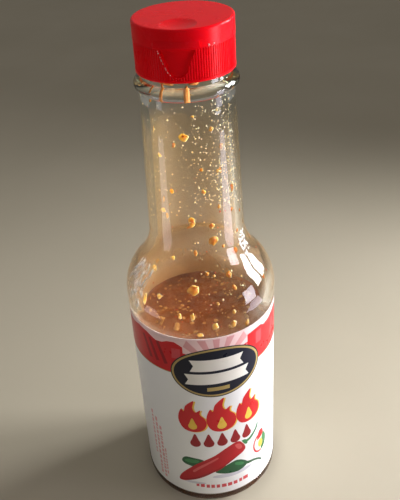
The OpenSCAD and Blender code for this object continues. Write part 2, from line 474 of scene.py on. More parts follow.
def sauce_finish():
    """Thick red-brown sauce: cloudy tone, wet gloss and a fine pulpy grain."""
    material, principled = shader("sauce", 0.22, IOR=1.38)
    tone = noise_node(material, 110, 6.0, 0.68)
    feed(material, principled, "Base Color", ramp(material, tone, [
        (0.30, (0.105, 0.017, 0.002)),
        (0.50, (0.200, 0.039, 0.004)),
        (0.72, (0.310, 0.088, 0.013)),
    ]))
    scatter(material, 0.2, (0.003, 0.0015, 0.0006))
    rough = remap(material, noise_node(material, 320), 0.3, 0.7, 0.14, 0.36)
    feed(material, principled, "Roughness", rough)
    bump(material, principled, noise_node(material, 900, 3.0), 0.22 * MM, 0.5)
    return material


def film_and_painted_light_finish():
    """Thin see-through sauce on the wall, thick by the surface and a faint haze up the neck. Partly
    painted light: thicker and lighter over the unlit back wall, and thinner on the lamp side as
    painted shade.
    """
    material, principled = shader("sauce_film_and_painted_light", 0.35, IOR=1.38)
    low = remap(material, axis_node(material, "Z"), FILM_TOP, SAUCE_Z, 0, 1)
    feed(material, principled, "Base Color", ramp(material, low, [
        (0.30, (0.47, 0.27, 0.075)),
        (0.70, (0.52, 0.27, 0.085)),
        # The 0.90 stop is lighter than those beside it: painted light on the unlit wall just above
        # the surface.
        (0.90, (0.56, 0.32, 0.13)),
        (1.00, (0.50, 0.26, 0.10)),
    ]))
    stops = ((0.00, 0.00), (0.12, 0.09), (0.58, 0.19), (0.80, 0.26), (0.88, 0.34), (0.96, 0.66))
    film = ramp(material, low, [(position, (grey,) * 3) for position, grey in stops])
    blotches = noise_node(material, 120, 5.0, 0.6, (1, 1, 0.45))
    patches = remap(material, blotches, 0.35, 0.65, 0.72, 1.0)
    # Thinner at the front and thicker towards the back: the extra film at the back is painted light,
    # a lighter tan over the unlit back wall.
    back = remap(material, axis_node(material, "Y"), -24 * MM, 14 * MM, 0.2, 1.8)
    # Painted shade: the film thins on the lamp side, +X, to dim its lit glow there.
    right = remap(material, axis_node(material, "X"), 8 * MM, 15 * MM, 1.0, 0.45)
    for factor in (patches, back, right):
        film = combine(material, "MULTIPLY", film, factor)
    feed(material, principled, "Alpha", combine(material, "MINIMUM", film, 0.93))
    return material


MAT_GLASS = glass_finish()
MAT_SAUCE = sauce_finish()
MAT_FILM_AND_PAINTED_LIGHT = film_and_painted_light_finish()
MAT_PULP = plain_finish("pulp", (0.40, 0.15, 0.025), (0.62, 0.30, 0.07), 0.30, 700)
MAT_BLOB = wet_finish("sauce_blob", (0.42, 0.080, 0.009), (0.58, 0.175, 0.030), 900)
MAT_DROP = wet_finish("sauce_drop", (0.44, 0.135, 0.018), (0.64, 0.27, 0.06), 1200)
# Lightened sauce colour for the smears below the cap: painted light, standing in for the light the
# cap shades off.
MAT_SMEAR_PAINTED_LIGHT = plain_finish("sauce_smear_painted_light", (0.90, 0.28, 0.04), (0.96, 0.44, 0.10), 0.3, 600)
MAT_SPRAY = wet_finish("sauce_spray", (0.72, 0.42, 0.12), (0.93, 0.78, 0.46), 1200)
MAT_BUBBLE = wet_finish("sauce_bubble", (0.30, 0.15, 0.05), (0.50, 0.30, 0.12), 1200)
MAT_SPECK = plain_finish("pepper_speck", (0.34, 0.03, 0.01), (0.66, 0.09, 0.02), 0.25, 900)
# Pale grey-white for condensation drops: the drops are real, their whitish tone is painted sheen
# standing in for highlights on clear water.
MAT_DEW_AND_SHEEN = plain_finish("dew_and_painted_sheen", (0.74, 0.70, 0.68), (0.90, 0.88, 0.88), 0.10, 900)
MAT_PAPER = plain_finish("label_paper", (0.80, 0.80, 0.79), (0.84, 0.84, 0.84), 0.30, 25, 0.03,
                         Specular_IOR_Level=0.3)
CAP_TONES = (0.82, 0.0010, 0.007), (0.90, 0.0016, 0.010)
MAT_CAP = plain_finish("cap_plastic", *CAP_TONES, 0.30, 70, 0.03, Specular_IOR_Level=0.12)
MAT_LID = plain_finish("lid_plastic", *CAP_TONES, 0.26, 60, 0.03, Specular_IOR_Level=0.12)
for plastic in (MAT_CAP, MAT_LID):
    scatter(plastic, 0.35, (0.0012, 0.0001, 0.0001))
# Pale plastic for flecks that are partly wear and partly painted highlights on lit edges.
MAT_WEAR_AND_HIGHLIGHT = plain_finish("wear_and_painted_highlight", (0.75, 0.30, 0.30), (0.90, 0.62, 0.60), 0.5, 2000)


def ink(name, colour, drift=0.08):
    """Printed colour: the same gloss as the paper, with a slight drift of tone."""
    dark = tuple(c * (1 - drift) for c in colour)
    light = tuple(min(1, c * (1 + drift)) for c in colour)
    return plain_finish(name, dark, light, 0.30, 60, 0.03, Specular_IOR_Level=0.25)


INK_RED = ink("ink_red", (0.60, 0.016, 0.022))
INK_RED_DEEP = ink("ink_red_deep", (0.30, 0.012, 0.018))
INK_RED_SOFT = ink("ink_red_soft", (0.62, 0.07, 0.08))
INK_PINK = ink("ink_pink", (0.88, 0.62, 0.61))
INK_ROSE = ink("ink_rose", (0.74, 0.36, 0.36))
INK_GOLD = ink("ink_gold", (0.42, 0.31, 0.11))
INK_NAVY = ink("ink_navy", (0.006, 0.008, 0.022))
INK_CREAM = ink("ink_cream", (0.80, 0.77, 0.70), 0.05)
INK_YELLOW = ink("ink_yellow", (0.85, 0.55, 0.08))
INK_GREEN = ink("ink_green", (0.022, 0.10, 0.040))
INK_LEAF = ink("ink_leaf", (0.05, 0.22, 0.08))
INK_SHADE = ink("ink_shade", (0.60, 0.60, 0.66))
INK_CHILLI = ink("ink_chilli", (0.44, 0.012, 0.020))
INK_CHILLI_LIT = ink("ink_chilli_lit", (0.60, 0.10, 0.10))
INK_CHILLI_DEEP = ink("ink_chilli_deep", (0.30, 0.008, 0.014))


def dress(node, material):
    mesh = nodes[node].data
    mesh.materials.clear()
    mesh.materials.append(material)
    mesh.polygons.foreach_set("material_index", [0] * len(mesh.polygons))


dress("label", MAT_PAPER)
dress("screw_cap", MAT_CAP)
dress("flip_lid", MAT_LID)

# -------------------------------- glass

GLASS_SEGMENTS = 192
outline = soften(without_repeats(glass_outside() + glass_inside()))
vertices, faces = lathe(outline, GLASS_SEGMENTS)
glass = new_piece("glass_bottle", vertices, faces, MAT_GLASS)
glass.visible_shadow = False
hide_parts("bottle")

# -------------------------------- sauce

REACH = 0.1 * MM  # how far the sauce goes into the glass, so that no gap shows
SAUCE_SEGMENTS = 160


def sauce_outline():
    """From the floor's middle out, up the wall and back in over the surface, which climbs
    at the glass."""
    wall = [Vector((p.x + REACH if p.x > 0 else 0, p.y - REACH))
            for p in inside_up if p.y < SAUCE_Z]
    rim_r = wall_radius(SAUCE_Z) + REACH
    top = []
    top_rings = 40
    for i in range(top_rings):
        x = rim_r * (1 - (i / top_rings) ** 1.5)
        climb = 1.4 * MM * math.exp(-(rim_r - x) / (1.1 * MM))
        top.append(Vector((x, SAUCE_Z + climb)))
    return wall + top + [Vector((0, SAUCE_Z))]


def swell(x, y):
    """Height of the thick sauce's low swells."""
    p = Vector((x, y, 0.31))
    return noise.noise(p * 160) * 0.30 * MM + noise.noise(p * 520) * 0.12 * MM


def uneven_top(p):
    if p.z < SAUCE_Z - 0.5 * MM:
        return p
    return Vector((p.x, p.y, p.z + swell(p.x, p.y)))


vertices, faces = lathe(sauce_outline(), SAUCE_SEGMENTS, uneven_top)
sauce_fill = new_piece("sauce_fill", vertices, faces, MAT_SAUCE)
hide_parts("sauce")


def film_shell():
    """A closed, very thin skin on the inner wall above the sauce."""
    segments = 128
    rows = 80
    low = SAUCE_Z - 0.4 * MM
    heights = [low + (FILM_TOP - low) * k / rows for k in range(rows + 1)]
    outer = [Vector((wall_radius(z) + 0.02 * MM, z)) for z in heights]
    inner = [Vector((p.x - 0.07 * MM, p.y)) for p in outer[::-1]]
    ring = outer + inner
    vertices = [round_point(TAU * i / segments, p.y, p.x) for p in ring for i in range(segments)]
    faces = []
    for k in range(len(ring)):
        n = (k + 1) % len(ring)
        for i in range(segments):
            j = (i + 1) % segments
            faces.append((k * segments + i, k * segments + j, n * segments + j, n * segments + i))
    return vertices, faces


vertices, faces = film_shell()
new_piece("wall_film", vertices, faces, MAT_FILM_AND_PAINTED_LIGHT)


def from_camera(degrees):
    """An azimuth in radians, from one in degrees that starts at the camera's side."""
    return math.radians(degrees + CAMERA_TURN)


# Splashes on the inner wall: degrees from the camera's side, then z, width and height in mm, kind
SPLASHES = [
    (-10, 175.3, 2.9, 3.2, "blob"), (28, 176.8, 1.6, 1.8, "drop"), (42, 169.5, 1.7, 2.6, "drop"),
    (-46, 167.5, 1.4, 1.8, "drop"), (11, 162.8, 1.3, 1.3, "blob"), (34, 161, 1.3, 1.4, "drop"),
    (-30, 154.5, 1.7, 1.8, "blob"), (57, 152, 1.5, 3.4, "blob"), (-46, 145.8, 1.9, 2.0, "drop"),
    (-40, 144, 1.0, 2.6, "drop"), (-6, 142.7, 2.2, 4.6, "blob"), (32, 147, 1.3, 2.0, "drop"),
    (20, 140, 1.8, 2.2, "blob"), (53, 143.5, 1.4, 1.6, "blob"), (21, 133.6, 3.2, 4.2, "blob"),
    (-4, 129.5, 1.4, 2.4, "blob"), (34, 130, 1.3, 1.4, "blob"), (50, 125.8, 3.0, 2.4, "blob"),
    (-33, 126.5, 1.6, 1.8, "film"), (-56, 120, 2.4, 2.2, "film"), (31, 119.3, 2.2, 2.2, "blob"),
    (31, 115, 1.5, 1.7, "blob"), (8, 121.3, 1.4, 1.4, "blob"), (15, 120.2, 1.0, 1.0, "drop"),
    (-7, 116.5, 4.0, 2.6, "blob"), (13, 112, 1.1, 1.2, "drop"), (-52, 109.8, 1.8, 4.6, "film"),
    (-38, 113, 1.9, 1.6, "film"), (-18, 108, 1.3, 2.4, "drop"), (-8, 108, 1.5, 2.8, "drop"),
    (25, 107.5, 1.4, 2.0, "drop"), (9, 103.5, 2.3, 3.0, "film"), (24, 102.5, 2.0, 3.4, "film"),
    (36, 100.5, 2.2, 3.0, "film"), (-3, 100, 2.6, 1.8, "film"), (73, 140, 1.3, 1.4, "blob"),
    (62, 133, 1.2, 1.6, "blob"), (66, 112, 1.4, 1.6, "blob"),
    (130, 150, 1.8, 3.0, "blob"), (165, 138, 2.2, 2.2, "blob"), (-150, 160, 1.6, 2.2, "blob"),
    (-120, 140, 1.8, 3.2, "drop"), (-170, 118, 2.4, 2.6, "blob"), (100, 122, 2.0, 2.8, "film"),
    (-100, 172, 1.4, 2.0, "drop"), (-135, 104, 2.4, 3.2, "film"), (175, 172, 1.5, 2.0, "drop"),
]


def splashes():
    rng = random.Random(7)
    heaps = {"blob": Heap(), "drop": Heap(), "film": Heap()}
    for azimuth, z, wide, tall, kind in SPLASHES:
        thick = {"blob": 0.15, "drop": 0.12, "film": 0.10}[kind] * MM
        heaps[kind].add(*wall_drop(from_camera(azimuth), z * MM, wide / 2 * MM, tall / 2 * MM,
                                   thick, rng, 5, 24, 0.17))
    heaps["blob"].piece("sauce_blobs", MAT_BLOB, slot="sauce")
    heaps["drop"].piece("sauce_drops", MAT_DROP, slot="sauce")
    heaps["film"].piece("sauce_smears", MAT_DROP, slot="sauce")


def droplets():
    """Fine spatter: dense on the right of the neck, thin elsewhere."""
    rng = random.Random(11)
    heap = Heap()
    bands = [
        (300, 30, 68, 146, 187, 0.14, 0.42), (120, 0, 32, 148, 186, 0.12, 0.32),
        (90, -70, 0, 140, 186, 0.10, 0.32), (150, 78, 290, 136, 186, 0.12, 0.34),
        (60, -10, 60, 108, 146, 0.14, 0.42), (70, 60, 330, 108, 146, 0.14, 0.42),
    ]
    for count, low_a, high_a, low_z, high_z, small, large in bands:
        for _ in range(count):
            a = from_camera(rng.uniform(low_a, high_a))
            z = rng.uniform(low_z, high_z) * MM
            r = rng.uniform(small, large) * MM * rng.uniform(0.5, 1)
            heap.add(*wall_drop(a, z, r, r * rng.uniform(0.9, 1.5), r * 0.35, rng, 2, 7, 0.2))
    heap.piece("fine_droplets", MAT_SPRAY, slot="sauce")


def dew_runs():
    """Streaky condensation low on the left of the shoulder, and a patch of drops on the right. Their
    pale colour is partly painted sheen.
    """
    rng = random.Random(5)
    heap = Heap()
    for _ in range(80):
        a = from_camera(rng.uniform(-84, -56))
        z = rng.uniform(103, 119) * MM
        tall = rng.uniform(0.5, 2.6) * MM
        half_w = rng.uniform(0.12, 0.34) * MM
        lean = rng.uniform(-0.5, 0.5)
        heap.add(*wall_drop(a, z, half_w, tall, 0.16 * MM, rng, 2, 10, 0.5, lean))
    for _ in range(90):
        a = from_camera(rng.uniform(62, 80))
        z = rng.uniform(121, 131) * MM
        r = rng.uniform(0.15, 0.5) * MM
        heap.add(*wall_drop(a, z, r, r * 1.2, r * 0.5, rng, 2, 8, 0.2))
    heap.piece("condensation", MAT_DEW_AND_SHEEN, slot="glass")


def pepper_specks():
    """Dark bits of pepper in the splashes and on the wall."""
    rng = random.Random(3)
    heap = Heap()
    spots = [(a, z) for a, z, _, tall, kind in SPLASHES if kind == "blob" and tall > 1.9]
    for azimuth, z in spots:
        for _ in range(2):
            a = from_camera(azimuth + rng.uniform(-1.6, 1.6))
            speck_z = (z + rng.uniform(-0.7, 0.9)) * MM
            heap.add(*wall_drop(a, speck_z, 0.28 * MM, 0.36 * MM, 0.32 * MM, rng, 3, 8))
    for _ in range(46):
        a = from_camera(rng.uniform(-80, 280))
        r = rng.uniform(0.12, 0.34) * MM
        heap.add(*wall_drop(a, rng.uniform(100, 150) * MM, r, r * 1.2, 0.2 * MM, rng, 3, 8))
    heap.piece("pepper_specks", MAT_SPECK, slot="sauce")


def pulp():
    """Pulp and seeds that float at the sauce's surface, and bubbles between them."""
    rng = random.Random(21)
    bits = Heap()
    seeds = Heap()
    bubbles = Heap()
    reach = wall_radius(SAUCE_Z) - 0.9 * MM
    for count, heap, small, large, flat in ((210, bits, 0.25, 0.95, 0.5),
                                            (45, seeds, 0.25, 0.6, 0.4),
                                            (180, bubbles, 0.12, 0.34, 0.8)):
        for _ in range(count):
            a = rng.uniform(0, TAU)
            r = reach * math.sqrt(rng.random())
            x, y = r * math.cos(a), r * math.sin(a)
            size = small + (large - small) * rng.random() ** 2
            heap.add(*chunk(Vector((x, y, SAUCE_Z + 0.1 * MM + swell(x, y))), size * MM, rng, flat))
    bits.piece("pulp_bits", MAT_PULP, slot="sauce")
    seeds.piece("pepper_flakes", MAT_SPECK, slot="sauce")
    bubbles.piece("surface_bubbles", MAT_BUBBLE, slot="sauce")


def cap_smears():
    """Sauce that ran down the glass below the cap: streaks, and a ring where the bore narrows. Their
    colour is lightened, painted light against the cap's shade.
    """
    rng = random.Random(9)
    heap = Heap()
    streaks = ((-38, 189.8, 1.2, 6.0), (-2, 189.6, 1.6, 5.0), (-30, 192.6, 5.0, 0.9),
               (8, 192.6, 3.6, 1.0), (-58, 186.6, 1.2, 2.2), (120, 190, 1.4, 4.0),
               (-130, 190, 1.6, 3.6))
    for azimuth, z, wide, tall in streaks:
        heap.add(*wall_drop(from_camera(azimuth), z * MM, wide / 2 * MM, tall / 2 * MM, 0.06 * MM,
                            rng, 4, 18, 0.3))
    for i in range(34):
        z = (187.4 + rng.uniform(-0.2, 0.2)) * MM
        half_h = rng.uniform(0.10, 0.22) * MM
        heap.add(*wall_drop(from_camera(-38 + i * 1.3), z, 0.36 * MM, half_h, 0.08 * MM, rng, 2, 8))
    heap.piece("smears_below_cap", MAT_SMEAR_PAINTED_LIGHT, slot="sauce")


splashes()
droplets()
dew_runs()
pepper_specks()
pulp()
cap_smears()

# -------------------------------- label print

INK_STEP = 0.014 * MM
STRIP = 1.0


def print_layer(name, material, level, *outlines):
    """Flat outlines in mm, (distance round the label from the front, height), wrapped on the
    label as one piece of thin ink. A higher level lies over a lower one."""
    heap = Heap()
    for outline in outlines:
        points, front, rim = strips_of(outline)
        count = len(points)
        vertices = [round_point(s * MM / LABEL_R, z * MM, r)
                    for r in (LABEL_R + INK_STEP * level, LABEL_R - 0.01 * MM) for s, z in points]
        faces = []
        for face in front:
            faces += [face, tuple(count + i for i in reversed(face))]
        heap.add(vertices, faces + [(b, a, count + a, count + b) for a, b in rim])
    heap.piece(name, material, slot="label", smooth=False)


def rectangle(left, right, low, high):
    return [(left, low), (right, low), (right, high), (left, high)]


def strips_of(outline):
    """Cuts an outline into narrow upright strips, so that it bends round the label.
    Returns points, faces seen from outside, and the rim's edges in face order."""
    mesh = bmesh.new()
    corners = [mesh.verts.new((s, z, 0)) for s, z in outline]
    face = mesh.faces.new(corners)
    face.normal_update()
    if face.normal.z < 0:
        face.normal_flip()
    low = min(s for s, z in outline)
    high = max(s for s, z in outline)
    cut = math.floor(low / STRIP) * STRIP + STRIP
    while cut < high - 1e-6:
        geometry = list(mesh.verts) + list(mesh.edges) + list(mesh.faces)
        bmesh.ops.bisect_plane(mesh, geom=geometry, plane_co=(cut, 0, 0), plane_no=(1, 0, 0),
                               dist=1e-5)
        cut += STRIP
    bmesh.ops.triangulate(mesh, faces=list(mesh.faces))
    mesh.verts.index_update()
    points = [(v.co.x, v.co.y) for v in mesh.verts]
    faces = [tuple(v.index for v in f.verts) for f in mesh.faces]
    rim = []
    for f in mesh.faces:
        for loop in f.loops:
            if len(loop.edge.link_faces) == 1:
                rim.append((loop.vert.index, loop.link_loop_next.vert.index))
    mesh.free()
    return points, faces, rim


def ellipse(cx, cz, a, b, steps=48, start=0, end=360):
    return [(cx + a * math.cos(math.radians(start + (end - start) * i / steps)),
             cz + b * math.sin(math.radians(start + (end - start) * i / steps)))
            for i in range(steps + (0 if end - start == 360 else 1))]


def smooth_line(points, closed=True, steps=5):
    """A Catmull-Rom curve through the points."""
    result = []
    n = len(points)
    last = n if closed else n - 1
    for i in range(last):
        around = [(i + k) % n if closed else max(0, min(n - 1, i + k)) for k in (-1, 0, 1, 2)]
        p = [points[k] for k in around]
        for j in range(steps):
            t = j / steps
            result.append(tuple(
                0.5 * (2 * p[1][d] + (p[2][d] - p[0][d]) * t
                       + (2 * p[0][d] - 5 * p[1][d] + 4 * p[2][d] - p[3][d]) * t * t
                       + (3 * p[1][d] - p[0][d] - 3 * p[2][d] + p[3][d]) * t ** 3) for d in (0, 1)))
    if not closed:
        result.append(points[-1])
    return result


def band(points, widths):
    """Outline of a tapering stroke along points."""
    left, right = [], []
    for i, (s, z) in enumerate(points):
        a = points[max(0, i - 1)]
        b = points[min(len(points) - 1, i + 1)]
        d = Vector((b[0] - a[0], b[1] - a[1])).normalized()
        w = widths[0] + (widths[1] - widths[0]) * i / (len(points) - 1)
        left.append((s - d.y * w / 2, z + d.x * w / 2))
        right.append((s + d.y * w / 2, z - d.x * w / 2))
    return left + right[::-1]


def moved(outline, ds, dz, scale=1.0):
    return [(s * scale + ds, z * scale + dz) for s, z in outline]


EDGE = max(math.atan2(v.co.x, -v.co.y) for v in nodes["label"].data.vertices) * LABEL_R / MM
TOP_Z = LABEL_Z1 / MM
BAND_Z = 80.2


def red_band():
    """The band round the label's top: pale border, red fields left and right, sunburst between."""
    print_layer("print_border", INK_PINK, 1, rectangle(-EDGE, EDGE, BAND_Z, TOP_Z))
    left_top = [(-EDGE, 96.5), (-60, 97), (-40, 96), (-35, 97.2), (-30, 96.6), (-25.5, 94.6),
                (-22.5, 95), (-20, 96.3), (-17, 96.6), (-15.2, 95.6), (-13.8, 94.6), (-13.8, 91.6),
                (-10, 90.6), (-4, 90.2)]
    right_top = [(2, 90.2), (6, 90.7), (12.7, 91.9), (12.7, 95.4), (16, 96), (20, 96.2), (22, 95),
                 (26, 95.2), (32, 96.6), (40, 96), (60, 97), (EDGE, 96.5)]
    print_layer("print_band", INK_RED, 2,
                [(-EDGE, BAND_Z), (EDGE, BAND_Z)] + right_top[::-1] + left_top[::-1])
    folds = [[(s, 94.2), (s + 1.3, 94.6), (s + 4.8, 84.2), (s + 3.2, 83.6)]
             for s in (-33, -29.5, -25.5)]
    folds += [[(s, 94.5), (s + 1.5, 94.8), (s + 4.5, 84.5), (s + 3.0, 84)]
              for s in (-70, -55, 48, 63, 76)]
    print_layer("print_folds", INK_RED_DEEP, 3, *folds)
    print_layer("print_squares", INK_RED_SOFT, 3,
                [(-18.6, 88.2), (-15.0, 88.5), (-14.8, 93.4), (-18.3, 93.4)],
                [(17, 88.2), (20.2, 88.0), (20.4, 94.2), (17.2, 94.4)],
                rectangle(-47, -41, 86, 93),
                [(27, 86), (29, 86), (31, 93), (29, 93)])
    rays = []
    centre = (-0.5, 84)
    rise = TOP_Z - 0.7 - centre[1]
    for a in (24, 46, 68, 90, 112, 134):
        points = []
        for spread in (-5.5, 5.5):
            t = math.tan(math.radians(a + spread - 90))
            far = min(rise, abs(13 / t) if abs(t) > 0.01 else rise)
            points.append((centre[0] - t * far, centre[1] + far))
            near = min(far - 0.3, 7.2)
            points.append((centre[0] - t * near, centre[1] + near))
        a0, a1, b0, b1 = points
        rays.append([a1, b1, b0, a0])
    print_layer("print_rays", INK_ROSE, 3, *rays)
    print_layer("print_hairline", INK_GOLD, 3, rectangle(-EDGE, EDGE, BAND_Z - 0.35, BAND_Z))


def badge():
    """A plain oval badge with two blank ribbons, where the real label has its maker's mark."""
    centre = (-0.6, 81.0)
    for name, material, level, grow in (("print_badge_edge", INK_NAVY, 4, 0.5),
                                        ("print_badge_rim", INK_GOLD, 5, 0),
                                        ("print_badge", INK_NAVY, 6, -0.9)):
        print_layer(name, material, level, ellipse(*centre, 18.6 + grow, 12.6 + grow, 72))
    notch = 1.5
    ribbons = []
    for low, high, left, right in ((82.3, 88.3, -11.6, 10.4), (75.2, 80.9, -14, 12.8)):
        mid = (low + high) / 2
        ribbons.append([(left, low), (right, low), (right - notch, mid), (right, high),
                        (left, high), (left + notch, mid)])
    print_layer("print_ribbons", INK_CREAM, 7, *ribbons)
    print_layer("print_badge_bar", INK_GOLD, 7, rectangle(-5.2, 4, 71.4, 73.4))


FLAME = [(0, 0), (3.2, 1.2), (4.6, 4.2), (4.2, 7.6), (2.6, 10.2), (2.9, 12.6), (1.2, 11.4),
         (0.4, 13.8), (0.9, 17.6), (-1.8, 14.6), (-2.6, 11.2), (-3.4, 12.4), (-4.5, 9.0),
         (-4.6, 5.0), (-3.0, 1.2)]
DROP = [(0, 0), (1.7, 0.7), (2.3, 2.4), (1.5, 4.6), (0, 8.2), (-1.5, 4.6), (-2.3, 2.4), (-1.7, 0.7)]


def flames():
    """Three flames and a row of drops, where the real label has its words."""
    shadows, tongues, hearts = [], [], []
    for s, z, size in ((-12.4, 47.2, 1.06), (0.0, 47.0, 1.12), (12.4, 47.4, 1.06)):
        outline = smooth_line([(s * 1.22, z) for s, z in moved(FLAME, 0, 0, size)], steps=4)
        shadows.append(moved(outline, s + 0.7, z - 0.15))
        tongues.append(moved(outline, s, z))
        hearts.append(moved(smooth_line(DROP, steps=4), s, z + 1.6, 0.78 * size))
    print_layer("print_flame_shadow", INK_YELLOW, 1, *shadows)
    print_layer("print_flames", INK_RED, 2, *tongues)
    print_layer("print_flame_hearts", INK_YELLOW, 3, *hearts)
    drops = [moved(smooth_line(DROP, steps=4), s, 37.9) for s in (-11.8, -6.0, -0.2, 5.6, 11.2)]
    print_layer("print_drops", INK_RED_DEEP, 2, *drops)


def chillies():
    """A red chilli across two green ones."""
    print_layer("print_chilli_shade", INK_SHADE, 1,
                ellipse(4, 17.9, 9.5, 1.4, 40), ellipse(-14, 13.6, 5.5, 0.8, 32))
    print_layer(
        "print_green_chilli", INK_GREEN, 2,
        smooth_line([(-18.8, 27.5), (-17, 30.2), (-13, 30.3), (-9, 29.3), (-7, 26), (-10, 22.6),
                     (-14, 24.5), (-17.5, 25.5)]),
        smooth_line([(4.5, 26), (7, 25.7), (9, 24.4), (11, 22.2), (11, 20.5), (8, 18.8), (5, 18.5),
                     (0, 19.3), (-4, 21.2), (0, 24)]),
        band(smooth_line([(10.4, 21.4), (12.6, 20.6), (15, 20), (18, 18.2), (20, 16)], False),
             (1.8, 0.8)))
    print_layer(
        "print_green_light", INK_LEAF, 3,
        smooth_line([(-17.6, 27.6), (-15.6, 29.2), (-11, 28.9), (-12, 27.2), (-15.4, 26.8)]),
        smooth_line([(5, 24.6), (7.6, 24.0), (9.4, 22.2), (8.2, 21.6), (5.4, 23)]))
    print_layer(
        "print_red_chilli", INK_CHILLI, 4,
        smooth_line([(-21, 13.5), (-20.2, 16.6), (-18, 20), (-15, 23.5), (-12, 26.5), (-8, 29.5),
                     (-4, 32), (0, 35), (3, 36.8), (5.5, 37.8), (7.5, 37.5), (9, 35.5), (10, 33.5),
                     (10.3, 31.5), (9, 29.8), (7, 28.8), (4, 27), (1, 24.8), (-2, 22.5), (-5, 21),
                     (-8, 19), (-12, 16.5), (-16, 14.5), (-19, 13.2)]))
    print_layer(
        "print_red_chilli_shade", INK_CHILLI_DEEP, 5,
        smooth_line([(-20, 14.2), (-16, 15.6), (-12, 18), (-8, 20.4), (-4.6, 22.4), (-1.2, 24.2),
                     (3, 27.2), (7, 29.8), (7, 28.9), (4, 27.1), (1, 24.9), (-2, 22.7), (-5, 21.1),
                     (-8, 19.1), (-12, 16.7), (-16, 14.7)]))
    print_layer(
        "print_red_chilli_shine", INK_CHILLI_LIT, 5,
        smooth_line([(5.4, 36.2), (7.2, 36.2), (8.4, 34.6), (8.6, 33), (7.4, 32.6), (6, 34)]),
        smooth_line([(-14, 21.8), (-11, 25), (-7, 28), (-3, 30.6), (-2.6, 29.8), (-7, 26.6),
                     (-11, 23.2), (-13.4, 20.8)]))
    print_layer(
        "print_chilli_stem", INK_LEAF, 6,
        smooth_line([(8.6, 37.2), (10.4, 37), (11.4, 35.4), (11.2, 33.8), (10.0, 34.4),
                     (9.2, 35.8)]),
        band(smooth_line([(10.4, 35.6), (12.4, 35.9), (14.6, 37.6), (16.6, 40), (17.4, 42.4)],
                         False), (1.7, 0.6)))


def slice_icon():
    """A slice of pepper, where the real label has a small mark."""
    s, z = centre = (19, 28.4)
    print_layer("print_slice_edge", INK_RED, 1, ellipse(*centre, 6.0 * 0.72, 6.0, 40))
    print_layer("print_slice_gap", INK_CREAM, 2, ellipse(*centre, 4.9 * 0.72, 4.9, 40))
    print_layer("print_slice_side", INK_LEAF, 3,
                ellipse(*centre, 4.2, 5.8, 24, -80, 60) + [(s + 0.8, z)])
    print_layer("print_slice_heart", INK_YELLOW, 4, ellipse(s + 0.3, z - 0.6, 1.5, 2.6, 28))
    print_layer("print_slice_top", INK_RED, 4,
                smooth_line([(17.2, 31.2), (19.6, 31.6), (21.2, 33.4), (20.6, 36.2), (18.4, 35.6)]))


def small_bars():
    """Rows of plain bars, where the real label has small print."""
    rng = random.Random(31)
    front = []
    s = -13.0
    while s < 11.6:
        wide = rng.uniform(1.3, 2.6)
        lift = 1.1 * ((s + 0.5) / 13) ** 2
        front.append(rectangle(s, s + wide, 10.2 + lift, 12.4 + lift))
        s += wide + rng.uniform(0.6, 0.9)
    print_layer("print_bars_front", INK_RED_SOFT, 1, *front)
    side = []
    for column, low, high, wide in ((-34.6, 22, 50, 1.1), (-32.2, 10, 46, 1.3), (-29.9, 9, 44, 1.3),
                                    (-28.0, 12, 30, 0.8)):
        z = low
        while z < high - 1:
            tall = rng.uniform(0.9, 2.6)
            side.append(rectangle(column, column + wide, z, z + tall))
            z += tall + rng.uniform(0.5, 1.1)
    print_layer("print_bars_side", INK_ROSE, 1, *side)
    frames, fields, rows = [], [], []
    line = 0.4
    for left, right, low, high in ((52, 82, 14, 74), (-82, -58, 40, 74)):
        frames.append(rectangle(left, right, low, high))
        fields.append(rectangle(left + line, right - line, low + line, high - line))
        start, width = left + 2, right - left - 4
        z = high - 4
        while z > low + 3:
            rows.append([(start, z), (start + width * rng.uniform(0.45, 1), z),
                         (start + width * 0.44, z + 0.9), (start, z + 0.9)])
            z -= 3.2
    print_layer("print_panel_frame", INK_NAVY, 1, *frames)
    print_layer("print_panel_field", INK_CREAM, 2, *fields)
    print_layer("print_panel_rows", INK_NAVY, 3, *rows)


red_band()
badge()
flames()
chillies()
slice_icon()
small_bars()

# -------------------------------- cap details

def cap_point(x, z, r):
    """A point on the cap's outside, x metres round from its front."""
    return round_point(x / r + CAP_TURN, z, r)


# The middle of the lid's thumb dish, before the cap's turn
DISH_Y = -(lid_high.x - lid_low.x) / 2 + 6.45 * MM


